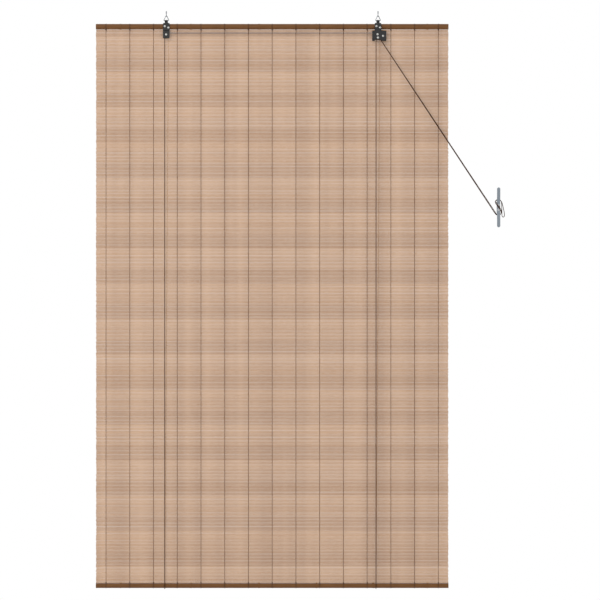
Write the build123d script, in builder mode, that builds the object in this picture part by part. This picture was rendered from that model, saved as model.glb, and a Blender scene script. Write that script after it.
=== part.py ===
from build123d import *

import math
import os

# Bamboo roll up blind: a mat of split bamboo slats woven on upright threads, a half round rail
# at its head and foot, two riveted steel brackets hung on screw hooks, sheaves that carry the
# lift cord, a cam lock on the right bracket and a horn cleat for the pulled cord.
#
# Millimetres. The origin is midway between the two screw hooks, in the ceiling plane.
# +X is to the right of a person who faces the blind, +Z is up, and the front faces -Y.

# ---------------------------------------------------------------- driving dimensions
blind_width = 1000.0
blind_drop = 1600.0
hang_depth = 28.5
hook_spacing = 600.0

top_rail_height = 15.5
foot_rail_height = 14.0
rail_depth = 7.0
rail_side_flat = 1.5
rail_back_rounding = 1.0
rail_front_y = 0.6
joint_ridge_height = 0.5
joint_ridge_width = 5.0
joint_ridge_taper = 8.0
top_rail_joints_x = (-430.0, -230.0, -37.0, 126.0, 440.0)
foot_rail_joints_x = (-430.0, -230.0, -37.0, 126.0, 287.0, 440.0)

slat_count = 392
slat_height = 3.6
slat_thickness = 1.5
mat_middle_y = 5.9
mat_end_gap = 0.8

thread_count = 15
thread_side_inset = 28.8
thread_width = 0.9
thread_thickness = 0.3
thread_gap = 0.1
lashing_gap = 0.05
knot_width = 2.0
knot_drop = 3.8
knot_depth = 1.2
knot_past_rail = 1.0

sheet_steel = 1.2
strap_width = 19.0
neck_width = 9.0
neck_top_z = -20.2
neck_overlap = 1.0
shoulder_z = -26.0
front_leaf_top_z = -28.0
lock_leaf_top_z = -30.0
left_step_head_z = -47.0
left_step_foot_z = -50.6
step_shift = 0.6
left_bracket_foot_z = -70.0
right_strap_foot_z = -74.0
plate_overlap = 4.0
plate_corner_radius = 3.0
strap_corner_radius = 2.0
bend_radius = 1.0
drill_reach = 28.0
lock_left_x = 283.5
lock_right_x = 323.3
lock_head_z = -49.0
lock_foot_z = -77.3

pin_radius = 1.5
hole_radius = 1.55
rivet_head_radius = 3.2
rivet_head_height = 1.3
rivet_back_radius = 2.8
rivet_back_height = 0.8

sheave_pitch_radius = 4.2
sheave_flange_radius = 5.4
sheave_width = 4.3
sheave_play = 0.2
groove_radius = 1.3
groove_flare = 0.45
left_sheave_at = (-300.3, -59.2)
right_sheave_at = (298.6, -59.2)

roller_at = (299.7, -68.5)
roller_radius = 2.45

cam_at = (313.9, -63.6)
cam_radius = 9.95
cam_hub_radius = 3.2
cam_tooth_depth = 0.6
cam_first_angle = 165.0
cam_last_angle = 225.0
cam_tooth_count = 12
cam_tooth_rake = 0.8

wire_radius = 1.05
hook_eye_radius = 3.1
hook_bend_radius = 1.2
hook_thread_length = 7.4
hook_thread_radius = 1.5
hook_point_chamfer = 0.9
hook_shoulder = 0.8
hook_eye_sweep = 265
ring_apex_half_angle = 24.5
ring_corner_radius = 2.0
ring_apex_radius = 2.2
knuckle_play = 0.15

cord_radius = 1.0
cord_play = 0.3
cord_joint_gap = 0.2
cord_tip_gap = 0.05
sling_corner_radius = 3.0
sling_rise = 2.5
sling_drop = 0.7

wall_y = 14.0
cleat_x = 641.5
cleat_middle_z = -549.2
cleat_length = 113.0
cleat_width = 9.0
cleat_neck_height = 33.0
cleat_bar_front_y = -7.0
cleat_bar_thickness = 6.0
cleat_tip_y = -11.5
cleat_tip_thickness = 3.6
cleat_front_bow = 2.2
cleat_back_bow = 3.2
screw_radius = 1.75
screw_thread_radius = 1.5
screw_neck_past_foot = 1.0
screw_hole_radius = 2.0
screw_head_radius = 3.6
screw_offset = 6.6
screw_depth_in_wall = 18.0
screw_point_length = 4.0
screw_slot_length = 4.3
screw_slot_width = 0.8
screw_slot_depth = 0.9

# ---------------------------------------------------------------- worked out places
top_rail_top_z = -hang_depth
top_rail_foot_z = top_rail_top_z - top_rail_height
foot_rail_foot_z = -hang_depth - blind_drop
foot_rail_top_z = foot_rail_foot_z + foot_rail_height
rail_back_y = rail_front_y + rail_depth

mat_top_z = top_rail_foot_z - mat_end_gap
mat_foot_z = foot_rail_top_z + mat_end_gap
slat_pitch = (mat_top_z - mat_foot_z) / slat_count

thread_pitch = (blind_width - 2 * thread_side_inset) / (thread_count - 1)
thread_x = [-blind_width / 2 + thread_side_inset + i * thread_pitch for i in range(thread_count)]
strand_front_y = mat_middle_y - slat_thickness / 2 - thread_gap - thread_thickness
strand_back_y = mat_middle_y + slat_thickness / 2 + thread_gap + thread_thickness

plate_front_y = -sheet_steel / 2
rear_sheave_y = plate_front_y - sheave_play - sheave_width / 2
front_sheave_y = rear_sheave_y - sheave_width - sheave_play
left_cheek_back_y = rear_sheave_y - sheave_width / 2 - sheave_play
lock_cheek_back_y = front_sheave_y - sheave_width / 2 - sheave_play
lock_cheek_front_y = lock_cheek_back_y - sheet_steel
strap_front_y = lock_cheek_front_y - sheet_steel
roller_front_y = lock_cheek_back_y + sheave_play
roller_back_y = plate_front_y - sheave_play

upper_rivet_shift = (-4.3, -35.5)
lower_rivet_shift = (5.9, -39.5)
post_back_y = rail_back_y + 2 * cord_radius + 2 * cord_play

sling_front_y = rail_front_y - cord_radius - cord_play
sling_back_y = rail_back_y + cord_radius + cord_play
sling_end_z = foot_rail_top_z + sling_rise
sling_foot_z = foot_rail_foot_z - cord_radius - sling_drop
left_cord_x = left_sheave_at[0] - sheave_pitch_radius
right_cord_x = right_sheave_at[0] - sheave_pitch_radius

hook_eye_z = -hook_shoulder - hook_bend_radius - hook_eye_radius
ring_top_z = hook_eye_z - hook_eye_radius + 2 * wire_radius + lashing_gap
ring_half_angle = math.radians(ring_apex_half_angle)
ring_corner_z = ring_top_z + ring_apex_radius * (1 / math.sin(ring_half_angle) - 1)
ring_half_base = (ring_corner_z - neck_top_z) * math.tan(ring_half_angle)

os.makedirs("parts", exist_ok=True)


def save(builder: BuildPart, name: str) -> None:
    """Labels a finished piece and writes it as a STEP file of the same name."""
    builder.part.label = name
    export_step(builder.part, f"parts/{name}.step")


def front_plane(y: float) -> Plane:
    """A plane that faces the front, at depth y: its x is +X and its y is +Z."""
    return Plane(origin=(0, y, 0), x_dir=(1, 0, 0), z_dir=(0, -1, 0))


def side_plane(x: float) -> Plane:
    """A plane that faces +X, at x: its x is +Y and its y is +Z."""
    return Plane(origin=(x, 0, 0), x_dir=(0, 1, 0), z_dir=(1, 0, 0))


def rail_section(top_z: float, foot_z: float) -> Sketch:
    """The section of a half round bamboo rail: a crowned front, short flat sides, a flat back."""
    side_y = rail_back_y - rail_side_flat
    with BuildSketch(Plane.XY) as section:
        with BuildLine():
            crown = ThreePointArc((side_y, top_z), (rail_front_y, (top_z + foot_z) / 2), (side_y, foot_z))
            Polyline(crown @ 1, (rail_back_y, foot_z), (rail_back_y, top_z), crown @ 0)
        make_face()
        fillet(section.vertices().sort_by(Axis.X)[-2:], rail_back_rounding)
    return section.sketch


def drills(places: list) -> Part:
    """Round cutters that run from front to back, one at each (x, z)."""
    with BuildPart() as made:
        with BuildSketch(front_plane(0)):
            with Locations(*places):
                Circle(hole_radius)
        extrude(amount=drill_reach, both=True)
    return made.part


def neck(x: float) -> Part:
    """The bracket's narrow neck, rolled into an eye round the hang ring's base."""
    knuckle_hole = wire_radius + knuckle_play
    with BuildPart() as made:
        with BuildSketch(front_plane(sheet_steel / 2)):
            with Locations((x, (neck_top_z + shoulder_z) / 2)):
                Rectangle(neck_width, neck_top_z - shoulder_z + neck_overlap)
        extrude(amount=sheet_steel)
        with BuildSketch(side_plane(x)):
            with Locations((0, neck_top_z)):
                Circle(knuckle_hole + sheet_steel)
        extrude(amount=neck_width / 2, both=True)
        with BuildSketch(side_plane(x)):
            with Locations((0, neck_top_z)):
                Circle(knuckle_hole)
        extrude(amount=neck_width, both=True, mode=Mode.SUBTRACT)
    return made.part


def rivet(x: float, z: float, front_y: float, back_y: float) -> Part:
    """A domed rivet whose heads bear on the faces at front_y and back_y."""
    dome_radius = (rivet_head_radius**2 + rivet_head_height**2) / (2 * rivet_head_height)
    dome_angle = math.degrees(math.asin(rivet_head_radius / dome_radius))
    with BuildPart() as made:
        with BuildSketch(front_plane(front_y)):
            with Locations((x, z)):
                Circle(pin_radius)
        extrude(amount=front_y - back_y)
        with BuildSketch(Plane(origin=(x, front_y, z), x_dir=(1, 0, 0), z_dir=(0, 0, 1))):
            with BuildLine():
                CenterArc((0, dome_radius - rivet_head_height), dome_radius, -90, dome_angle)
                Polyline((0, -rivet_head_height), (0, 0), (rivet_head_radius, 0))
            make_face()
        revolve(axis=Axis((x, 0, z), (0, 1, 0)))
        with BuildSketch(front_plane(back_y)):
            with Locations((x, z)):
                Circle(rivet_back_radius)
        extrude(amount=-rivet_back_height)
    return made.part


def sheave(at: tuple, y: float) -> Part:
    """A grooved wheel on an axis along Y, its groove as round as the cord with a little play."""
    rim_half_opening = groove_radius + groove_flare
    past_rim = sheave_flange_radius + lashing_gap
    with BuildPart() as made:
        with BuildSketch(Plane(origin=(at[0], y, at[1]), x_dir=(1, 0, 0), z_dir=(0, 0, 1))):
            with Locations(((hole_radius + sheave_flange_radius) / 2, 0)):
                Rectangle(sheave_flange_radius - hole_radius, sheave_width)
            with Locations((sheave_pitch_radius, 0)):
                Circle(groove_radius, mode=Mode.SUBTRACT)
            with BuildLine():
                Polyline(
                    (sheave_pitch_radius, -groove_radius),
                    (past_rim, -rim_half_opening),
                    (past_rim, rim_half_opening),
                    (sheave_pitch_radius, groove_radius),
                    close=True,
                )
            make_face(mode=Mode.SUBTRACT)
        revolve(axis=Axis((at[0], 0, at[1]), (0, 1, 0)))
    return made.part


def lashing(ring_top_z: float, ring_foot_z: float, knot_z: float, x: float) -> Part:
    """A turn of thread round a rail with its knot against the mat, at x."""
    ring_section = rail_section(ring_top_z, ring_foot_z)
    inside = offset(ring_section, amount=lashing_gap, mode=Mode.PRIVATE)
    outside = offset(ring_section, amount=lashing_gap + thread_thickness, mode=Mode.PRIVATE)
    knot_y = strand_front_y - lashing_gap - knot_depth / 2
    with BuildPart() as made:
        with BuildSketch(side_plane(x)):
            add(outside)
            add(inside, mode=Mode.SUBTRACT)
        extrude(amount=thread_width / 2, both=True)
        with BuildSketch(side_plane(x)):
            with Locations((knot_y, knot_z)):
                RectangleRounded(knot_depth, knot_drop, knot_depth / 3)
            add(inside, mode=Mode.SUBTRACT)
        extrude(amount=knot_width / 2, both=True)
    return made.part


def cord_tube(points: list, radii: list) -> Part:
    """A cord's tube along straight runs joined by tangent arcs, one radius for each corner."""
    with BuildPart() as made:
        with BuildLine() as route:
            if radii:
                FilletPolyline(*points, radius=radii)
            else:
                Line(points[0], points[-1])
        path = Wire(route.edges())
        with BuildSketch(Plane(origin=path @ 0, z_dir=path % 0)):
            Circle(cord_radius)
        sweep(path=path)
    print(f"cord of {path.length:.1f} mm")
    return made.part


# ---------------------------------------------------------------- screw hooks and hang rings
for side, x in (("left", -hook_spacing / 2), ("right", hook_spacing / 2)):
    with BuildPart() as screw_hook:
        with BuildLine(side_plane(x)) as hook_line:
            Line((-hook_bend_radius, 0), (-hook_bend_radius, -hook_shoulder))
            CenterArc((0, -hook_shoulder), hook_bend_radius, 180, 90)
            CenterArc((0, hook_eye_z), hook_eye_radius, 90, -hook_eye_sweep)
        with BuildSketch(Plane(origin=(x, -hook_bend_radius, 0), z_dir=(0, 0, -1))):
            Circle(wire_radius)
        sweep(path=hook_line.line)
        with BuildSketch(Plane.XY):
            with Locations((x, -hook_bend_radius)):
                Circle(hook_thread_radius)
        extrude(amount=hook_thread_length)
        chamfer(screw_hook.edges().sort_by(Axis.Z)[-1], length=hook_point_chamfer)
    save(screw_hook, f"{side}_screw_hook")

    with BuildPart() as hang_ring:
        with BuildLine(front_plane(0)) as ring_line:
            FilletPolyline(
                (x + ring_half_base, neck_top_z),
                (x, ring_corner_z),
                (x - ring_half_base, neck_top_z),
                radius=[ring_corner_radius, ring_apex_radius, ring_corner_radius],
                close=True,
            )
        with BuildSketch(Plane(origin=ring_line.line @ 0, z_dir=ring_line.line % 0)):
            Circle(wire_radius)
        sweep(path=ring_line.line)
    save(hang_ring, f"{side}_hang_ring")

# ---------------------------------------------------------------- rails
rails = (
    ("top_rail", top_rail_top_z, top_rail_foot_z, top_rail_joints_x),
    ("bottom_rail", foot_rail_top_z, foot_rail_foot_z, foot_rail_joints_x),
)
for name, top_z, foot_z, joints_x in rails:
    section = rail_section(top_z, foot_z)
    ridge = offset(section, amount=joint_ridge_height, mode=Mode.PRIVATE)
    with BuildPart() as rail:
        with BuildSketch(side_plane(-blind_width / 2)):
            add(section)
        extrude(amount=blind_width)
        for joint_x in joints_x:
            with BuildSketch(side_plane(joint_x)):
                add(ridge)
            extrude(amount=joint_ridge_width / 2, both=True, taper=joint_ridge_taper)
        if name == "top_rail":
            bracket_x = (-hook_spacing / 2, hook_spacing / 2)
            shifts = (upper_rivet_shift, lower_rivet_shift)
            add(drills([(x + dx, z) for x in bracket_x for dx, z in shifts]), mode=Mode.SUBTRACT)
    save(rail, name)

# ---------------------------------------------------------------- woven mat
with BuildPart() as slats:
    with BuildSketch(side_plane(-blind_width / 2)):
        slat_z = [mat_top_z - slat_pitch * (i + 0.5) for i in range(slat_count)]
        with Locations(*[(mat_middle_y, z) for z in slat_z]):
            Rectangle(slat_thickness, slat_height)
    extrude(amount=blind_width)
save(slats, "slats")

for number, x in enumerate(thread_x, start=1):
    with BuildPart() as warp_thread:
        with BuildSketch(side_plane(x)):
            loop_middle = ((strand_front_y + strand_back_y) / 2, (mat_top_z + mat_foot_z) / 2)
            loop_depth = strand_back_y - strand_front_y
            loop_height = mat_top_z - mat_foot_z + 2 * (thread_thickness + lashing_gap)
            with Locations(loop_middle):
                Rectangle(loop_depth, loop_height)
                Rectangle(
                    loop_depth - 2 * thread_thickness,
                    loop_height - 2 * thread_thickness,
                    mode=Mode.SUBTRACT,
                )
        extrude(amount=thread_width / 2, both=True)
    save(warp_thread, f"warp_thread_{number:02d}")

knot_reach = knot_drop / 2 - knot_past_rail
for name, top_z, foot_z, knot_z in (
    ("top_lashings", top_rail_top_z, top_rail_foot_z, top_rail_foot_z - knot_reach),
    ("bottom_lashings", foot_rail_top_z, foot_rail_foot_z, foot_rail_top_z + knot_reach),
):
    with BuildPart() as lashings:
        for x in thread_x:
            add(lashing(top_z, foot_z, knot_z, x))
    save(lashings, name)

# ---------------------------------------------------------------- left bracket
left_x = -hook_spacing / 2
with BuildPart() as left_bracket_back:
    with BuildSketch(front_plane(sheet_steel / 2)):
        with Locations((left_x, (shoulder_z + left_bracket_foot_z) / 2)):
            RectangleRounded(strap_width, shoulder_z - left_bracket_foot_z, plate_corner_radius)
    extrude(amount=sheet_steel)
    add(neck(left_x))
    left_holes = [(left_x + dx, z) for dx, z in (upper_rivet_shift, lower_rivet_shift)]
    add(drills(left_holes + [left_sheave_at]), mode=Mode.SUBTRACT)
save(left_bracket_back, "left_bracket_back")

with BuildPart() as left_bracket_front:
    leaf_back_y = plate_front_y
    leaf_front_y = plate_front_y - sheet_steel
    cheek_front_y = left_cheek_back_y - sheet_steel
    with BuildSketch(side_plane(left_x)):
        with BuildLine():
            Polyline(
                (leaf_back_y, front_leaf_top_z),
                (leaf_back_y, left_step_head_z),
                (left_cheek_back_y, left_step_foot_z),
                (left_cheek_back_y, left_bracket_foot_z),
                (cheek_front_y, left_bracket_foot_z),
                (cheek_front_y, left_step_foot_z + step_shift),
                (leaf_front_y, left_step_head_z + step_shift),
                (leaf_front_y, front_leaf_top_z),
                close=True,
            )
        make_face()
    extrude(amount=strap_width / 2, both=True)
    corner_edges = left_bracket_front.edges().filter_by(Axis.Y)
    fillet(corner_edges.group_by(Axis.Z)[0] + corner_edges.group_by(Axis.Z)[-1], plate_corner_radius)
    add(drills(left_holes + [left_sheave_at]), mode=Mode.SUBTRACT)
save(left_bracket_front, "left_bracket_front")

with BuildPart() as left_sheave:
    add(sheave(left_sheave_at, rear_sheave_y))
save(left_sheave, "left_sheave")

with BuildPart() as left_sheave_axle:
    add(rivet(*left_sheave_at, left_cheek_back_y - sheet_steel, sheet_steel / 2))
save(left_sheave_axle, "left_sheave_axle")

# ---------------------------------------------------------------- right bracket and cord lock
right_x = hook_spacing / 2
strap_left_x = right_x - strap_width / 2
strap_right_x = right_x + strap_width / 2
right_holes = [(right_x + dx, z) for dx, z in (upper_rivet_shift, lower_rivet_shift)]
lock_outline = (
    (lock_left_x, lock_head_z),
    (lock_left_x, lock_foot_z),
    (strap_left_x, lock_foot_z),
    (strap_left_x, right_strap_foot_z),
    (strap_right_x, right_strap_foot_z),
    (strap_right_x, lock_foot_z),
    (lock_right_x, lock_foot_z),
    (lock_right_x, lock_head_z),
)

with BuildPart() as right_bracket_back:
    with BuildSketch(front_plane(sheet_steel / 2)):
        with Locations((right_x, (shoulder_z + lock_head_z - plate_overlap) / 2)):
            RectangleRounded(strap_width, shoulder_z - lock_head_z + plate_overlap, plate_corner_radius)
        with BuildLine():
            Polyline(*lock_outline, close=True)
        make_face()
    extrude(amount=sheet_steel)
    add(neck(right_x))
    add(drills(right_holes + [right_sheave_at, roller_at, cam_at]), mode=Mode.SUBTRACT)
save(right_bracket_back, "right_bracket_back")

with BuildPart() as lock_housing:
    web_depth = plate_front_y - lock_cheek_front_y
    with BuildSketch(front_plane(plate_front_y)):
        with Locations((right_x, (lock_leaf_top_z + lock_head_z) / 2)):
            Rectangle(strap_width, lock_leaf_top_z - lock_head_z)
    extrude(amount=sheet_steel)
    with BuildSketch(front_plane(plate_front_y)):
        with Locations(((lock_left_x + lock_right_x) / 2, lock_head_z - sheet_steel / 2)):
            Rectangle(lock_right_x - lock_left_x, sheet_steel)
    extrude(amount=web_depth)
    with BuildSketch(front_plane(lock_cheek_back_y)):
        with BuildLine():
            Polyline(*lock_outline, close=True)
        make_face()
    extrude(amount=sheet_steel)
    bend_edge = lock_housing.edges().filter_by(Axis.X).group_by(Axis.Y)[0].group_by(Axis.Z)[-1]
    fillet(bend_edge, bend_radius)
    add(drills(right_holes + [right_sheave_at, roller_at, cam_at]), mode=Mode.SUBTRACT)
save(lock_housing, "lock_housing")

with BuildPart() as right_bracket_front:
    strap_leaf_back_y = plate_front_y - sheet_steel
    strap_leaf_front_y = strap_leaf_back_y - sheet_steel
    step_z = lock_head_z + lashing_gap
    with BuildSketch(side_plane(right_x)):
        with BuildLine():
            Polyline(
                (strap_leaf_back_y, front_leaf_top_z),
                (strap_leaf_back_y, step_z),
                (lock_cheek_front_y - lashing_gap, step_z),
                (lock_cheek_front_y - lashing_gap, right_strap_foot_z),
                (strap_front_y - lashing_gap, right_strap_foot_z),
                (strap_front_y - lashing_gap, step_z + sheet_steel),
                (strap_leaf_front_y, step_z + sheet_steel),
                (strap_leaf_front_y, front_leaf_top_z),
                close=True,
            )
        make_face()
    extrude(amount=strap_width / 2, both=True)
    crest = right_bracket_front.edges().filter_by(Axis.X).group_by(Axis.Y)[0].group_by(Axis.Z)[-1]
    fillet(crest, bend_radius)
    corner_edges = right_bracket_front.edges().filter_by(Axis.Y)
    fillet(corner_edges.group_by(Axis.Z)[0] + corner_edges.group_by(Axis.Z)[-1], strap_corner_radius)
    add(drills(right_holes + [right_sheave_at, roller_at]), mode=Mode.SUBTRACT)
save(right_bracket_front, "right_bracket_front")

for name, at, y in (
    ("right_rear_sheave", right_sheave_at, rear_sheave_y),
    ("right_front_sheave", right_sheave_at, front_sheave_y),
):
    with BuildPart() as right_sheave:
        add(sheave(at, y))
    save(right_sheave, name)

for name, at, front_y in (
    ("right_sheave_axle", right_sheave_at, strap_front_y - lashing_gap),
    ("guide_roller_pin", roller_at, strap_front_y - lashing_gap),
    ("lock_cam_pin", cam_at, lock_cheek_front_y),
):
    with BuildPart() as lock_pin:
        add(rivet(*at, front_y, sheet_steel / 2))
    save(lock_pin, name)

with BuildPart() as guide_roller:
    with BuildSketch(front_plane(roller_back_y)):
        with Locations(roller_at):
            Circle(roller_radius)
            Circle(hole_radius, mode=Mode.SUBTRACT)
    extrude(amount=roller_back_y - roller_front_y)
save(guide_roller, "guide_roller")

with BuildPart() as lock_cam:
    tooth_angle = (cam_last_angle - cam_first_angle) / cam_tooth_count
    tooth_root = cam_radius - cam_tooth_depth
    teeth = []
    for i in range(cam_tooth_count):
        root_angle = math.radians(cam_first_angle + i * tooth_angle)
        tip_angle = math.radians(cam_first_angle + (i + cam_tooth_rake) * tooth_angle)
        teeth.append((tooth_root * math.cos(root_angle), tooth_root * math.sin(root_angle)))
        teeth.append((cam_radius * math.cos(tip_angle), cam_radius * math.sin(tip_angle)))
    hub_side = cam_hub_radius * math.sin(math.pi / 4)
    with BuildSketch(Plane(origin=(cam_at[0], roller_back_y, cam_at[1]), x_dir=(1, 0, 0), z_dir=(0, -1, 0))):
        with BuildLine():
            Polyline((-hub_side, hub_side), *teeth, (hub_side, -hub_side), close=True)
        make_face()
        Circle(cam_hub_radius)
        Circle(hole_radius, mode=Mode.SUBTRACT)
    extrude(amount=roller_back_y - roller_front_y)
save(lock_cam, "lock_cam")

# ---------------------------------------------------------------- rivets through the top rail
for side, middle_x, front_y in (
    ("left", left_x, plate_front_y - sheet_steel),
    ("right", right_x, plate_front_y - 2 * sheet_steel),
):
    with BuildPart() as rail_rivets:
        add(rivet(middle_x + upper_rivet_shift[0], upper_rivet_shift[1], front_y, rail_back_y))
        add(rivet(middle_x + lower_rivet_shift[0], lower_rivet_shift[1], front_y, post_back_y))
    save(rail_rivets, f"{side}_rail_rivets")

# ---------------------------------------------------------------- lift cord
# One cord: tied round the left bracket's lower rivet behind the rail, down behind the mat, under
# the bottom rail, up the front, over the sheaves, through the lock and round the cleat to the
# end of its hanging loop, and from there back the same way on the right.
for side, tie_x, cord_x, front_y in (
    ("left", left_x + lower_rivet_shift[0], left_cord_x, rear_sheave_y),
    ("right", right_x + lower_rivet_shift[0], right_cord_x, front_sheave_y),
):
    knot_outer_radius = hole_radius + 2 * cord_radius
    with BuildPart() as cord_knot:
        with BuildSketch(front_plane(post_back_y - cord_play)):
            with Locations((tie_x, lower_rivet_shift[1])):
                Circle(knot_outer_radius)
                Circle(hole_radius, mode=Mode.SUBTRACT)
        extrude(amount=2 * cord_radius)
    save(cord_knot, f"{side}_cord_knot")

    tie_z = lower_rivet_shift[1] - knot_outer_radius - lashing_gap
    with BuildPart() as rear_cord:
        rear_route = [(tie_x, sling_back_y, tie_z), (cord_x, sling_back_y, sling_end_z + cord_joint_gap)]
        add(cord_tube(rear_route, []))
    save(rear_cord, f"{side}_rear_cord")

    with BuildPart() as cord_sling:
        sling_route = [
            (cord_x, sling_front_y, sling_end_z),
            (cord_x, sling_front_y, sling_foot_z),
            (cord_x, sling_back_y, sling_foot_z),
            (cord_x, sling_back_y, sling_end_z),
        ]
        add(cord_tube(sling_route, [sling_corner_radius, sling_corner_radius]))
    save(cord_sling, f"{side}_cord_sling")

    with BuildPart() as front_cord:
        front_route = [
            (cord_x, sling_front_y, sling_end_z + cord_joint_gap),
            (cord_x, front_y, left_sheave_at[1] - cord_tip_gap),
        ]
        add(cord_tube(front_route, []))
    save(front_cord, f"{side}_front_cord")

left_run_route = [
    (-304.5, -2.95, -59.2),
    (-304.5, -2.95, -55.0),
    (302.96, -2.95, -55.0),
    (302.53, -2.95, -66.8),
    (630.0, 3.0, -563.2),
    (635.5, 4.4, -570.6),
    (645.6, 4.0, -571.2),
    (649.8, -0.9, -565.0),
    (649.4, -8.8, -555.6),
    (635.8, -8.8, -538.2),
    (632.4, -2.8, -530.6),
    (636.8, 1.6, -526.8),
    (646.2, 1.6, -526.8),
    (650.2, 0.2, -533.8),
    (650.9, 0.8, -547.0),
    (651.4, 1.2, -563.0),
    (651.4, 1.6, -576.4),
    (654.9, 1.6, -576.4),
]
left_run_radii = [4.2, 4.2, 11.25, 9.0, 5.5, 3.4, 4.2, 4.6, 4.2, 3.6, 4.0, 4.0, 10.0, 18.0, 40.0, 3.2]

right_run_route = [
    (294.4, -7.45, -59.2),
    (294.4, -7.45, -55.0),
    (302.96, -7.45, -55.0),
    (302.53, -7.45, -66.8),
    (632.0, 0.4, -562.2),
    (636.4, 1.8, -569.4),
    (645.2, 1.4, -570.0),
    (649.2, -3.0, -566.6),
    (647.4, -8.8, -557.2),
    (633.8, -8.8, -539.8),
    (631.6, -1.0, -532.6),
    (636.0, 4.2, -528.2),
    (646.6, 4.2, -528.0),
    (651.4, 3.4, -533.8),
    (655.0, 2.6, -549.4),
    (658.6, 2.0, -565.0),
    (658.4, 1.6, -576.4),
    (654.9, 1.6, -576.4),
]
right_run_radii = [4.15, 4.15, 11.25, 9.0, 5.5, 3.4, 3.6, 4.4, 4.2, 3.6, 4.2, 4.2, 12.0, 18.0, 30.0, 3.2]

for name, route, radii in (
    ("left_run_cord", left_run_route, left_run_radii),
    ("right_run_cord", right_run_route, right_run_radii),
):
    with BuildPart() as run_cord:
        add(cord_tube(route, radii))
    save(run_cord, name)

# ---------------------------------------------------------------- cleat and its screws
bar_back_y = cleat_bar_front_y + cleat_bar_thickness
with BuildPart() as cleat:
    half_length = cleat_length / 2
    half_neck = cleat_neck_height / 2
    tip_back_y = cleat_tip_y + cleat_tip_thickness
    with BuildSketch(Plane(origin=(cleat_x, 0, cleat_middle_z), x_dir=(0, 1, 0), z_dir=(1, 0, 0))):
        with BuildLine():
            neck_front, tip_front = (cleat_bar_front_y, half_neck), (cleat_tip_y, half_length)
            neck_back, tip_back = (bar_back_y, half_neck), (tip_back_y, half_length)
            front_arc = SagittaArc(neck_front, tip_front, cleat_front_bow)
            back_arc = SagittaArc(tip_back, neck_back, -cleat_back_bow)
            Line(front_arc @ 1, back_arc @ 0)
            mirror(about=Plane.XZ)
            Line((cleat_bar_front_y, half_neck), (cleat_bar_front_y, -half_neck))
            Polyline(
                (bar_back_y, half_neck),
                (wall_y, half_neck),
                (wall_y, -half_neck),
                (bar_back_y, -half_neck),
            )
        make_face()
    extrude(amount=cleat_width / 2, both=True)
    with BuildSketch(front_plane(wall_y)):
        with Locations((cleat_x, cleat_middle_z)):
            SlotOverall(cleat_length, cleat_width, rotation=90)
    extrude(amount=drill_reach, both=True, mode=Mode.INTERSECT)
    screw_places = [
        Plane(origin=(cleat_x, cleat_bar_front_y, cleat_middle_z + dz), x_dir=(1, 0, 0), z_dir=(0, -1, 0))
        for dz in (-screw_offset, screw_offset)
    ]
    with Locations(*screw_places):
        CounterSinkHole(screw_hole_radius, screw_head_radius + lashing_gap)
save(cleat, "cleat")

for name, dz in (("cleat_screw_upper", screw_offset), ("cleat_screw_lower", -screw_offset)):
    screw_z = cleat_middle_z + dz
    point_y = wall_y + screw_depth_in_wall
    cone_end_y = cleat_bar_front_y + screw_head_radius - screw_radius
    neck_end_y = wall_y + screw_neck_past_foot
    with BuildPart() as cleat_screw:
        with BuildSketch(Plane(origin=(cleat_x, 0, screw_z), x_dir=(1, 0, 0), z_dir=(0, 0, 1))):
            with BuildLine():
                Polyline(
                    (0, cleat_bar_front_y),
                    (screw_head_radius, cleat_bar_front_y),
                    (screw_radius, cone_end_y),
                    (screw_radius, neck_end_y),
                    (screw_thread_radius, neck_end_y),
                    (screw_thread_radius, point_y),
                    (0, point_y + screw_point_length),
                    close=True,
                )
            make_face()
        revolve(axis=Axis((cleat_x, 0, screw_z), (0, 1, 0)))
        with BuildSketch(front_plane(cleat_bar_front_y)):
            with Locations((cleat_x, screw_z)):
                Rectangle(screw_slot_length, screw_slot_width)
                Rectangle(screw_slot_width, screw_slot_length)
        extrude(amount=-screw_slot_depth, mode=Mode.SUBTRACT)
    save(cleat_screw, name)
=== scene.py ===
import logging
import math
from dataclasses import dataclass, field
from enum import Enum

import bmesh
import bpy
from mathutils import Matrix, Vector


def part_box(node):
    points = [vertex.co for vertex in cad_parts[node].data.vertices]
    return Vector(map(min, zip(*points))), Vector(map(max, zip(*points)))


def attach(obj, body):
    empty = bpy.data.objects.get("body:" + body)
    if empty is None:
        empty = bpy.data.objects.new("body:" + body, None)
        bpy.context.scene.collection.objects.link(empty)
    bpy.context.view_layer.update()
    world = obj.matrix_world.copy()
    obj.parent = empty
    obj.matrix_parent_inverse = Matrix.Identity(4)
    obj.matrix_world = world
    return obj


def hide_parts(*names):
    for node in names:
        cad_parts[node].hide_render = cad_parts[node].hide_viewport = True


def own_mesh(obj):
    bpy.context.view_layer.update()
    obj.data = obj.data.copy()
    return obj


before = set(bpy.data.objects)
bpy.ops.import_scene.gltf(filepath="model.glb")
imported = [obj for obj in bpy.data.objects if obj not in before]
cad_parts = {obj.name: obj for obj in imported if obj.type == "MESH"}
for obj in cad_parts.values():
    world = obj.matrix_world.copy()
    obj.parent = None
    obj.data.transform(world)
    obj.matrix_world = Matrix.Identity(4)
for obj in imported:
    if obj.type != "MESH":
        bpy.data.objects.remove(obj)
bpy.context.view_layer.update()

MM = 0.001
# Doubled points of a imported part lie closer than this, and its flat faces are split by less than this turn.
WELD = 0.002 * MM
FLAT_TURN = math.radians(1)
# An edge is eased where its faces turn by more than this, with this many faces.
SHARP_TURN = math.radians(40)
EDGE_FACES = 2
NodeSocket = bpy.types.NodeSocket
log = logging.getLogger("bamboo_blind")


class Side(Enum):
    """The two sides of the blind, each with a hook, a bracket and half of the lift cord."""

    LEFT = "left"
    RIGHT = "right"


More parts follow.
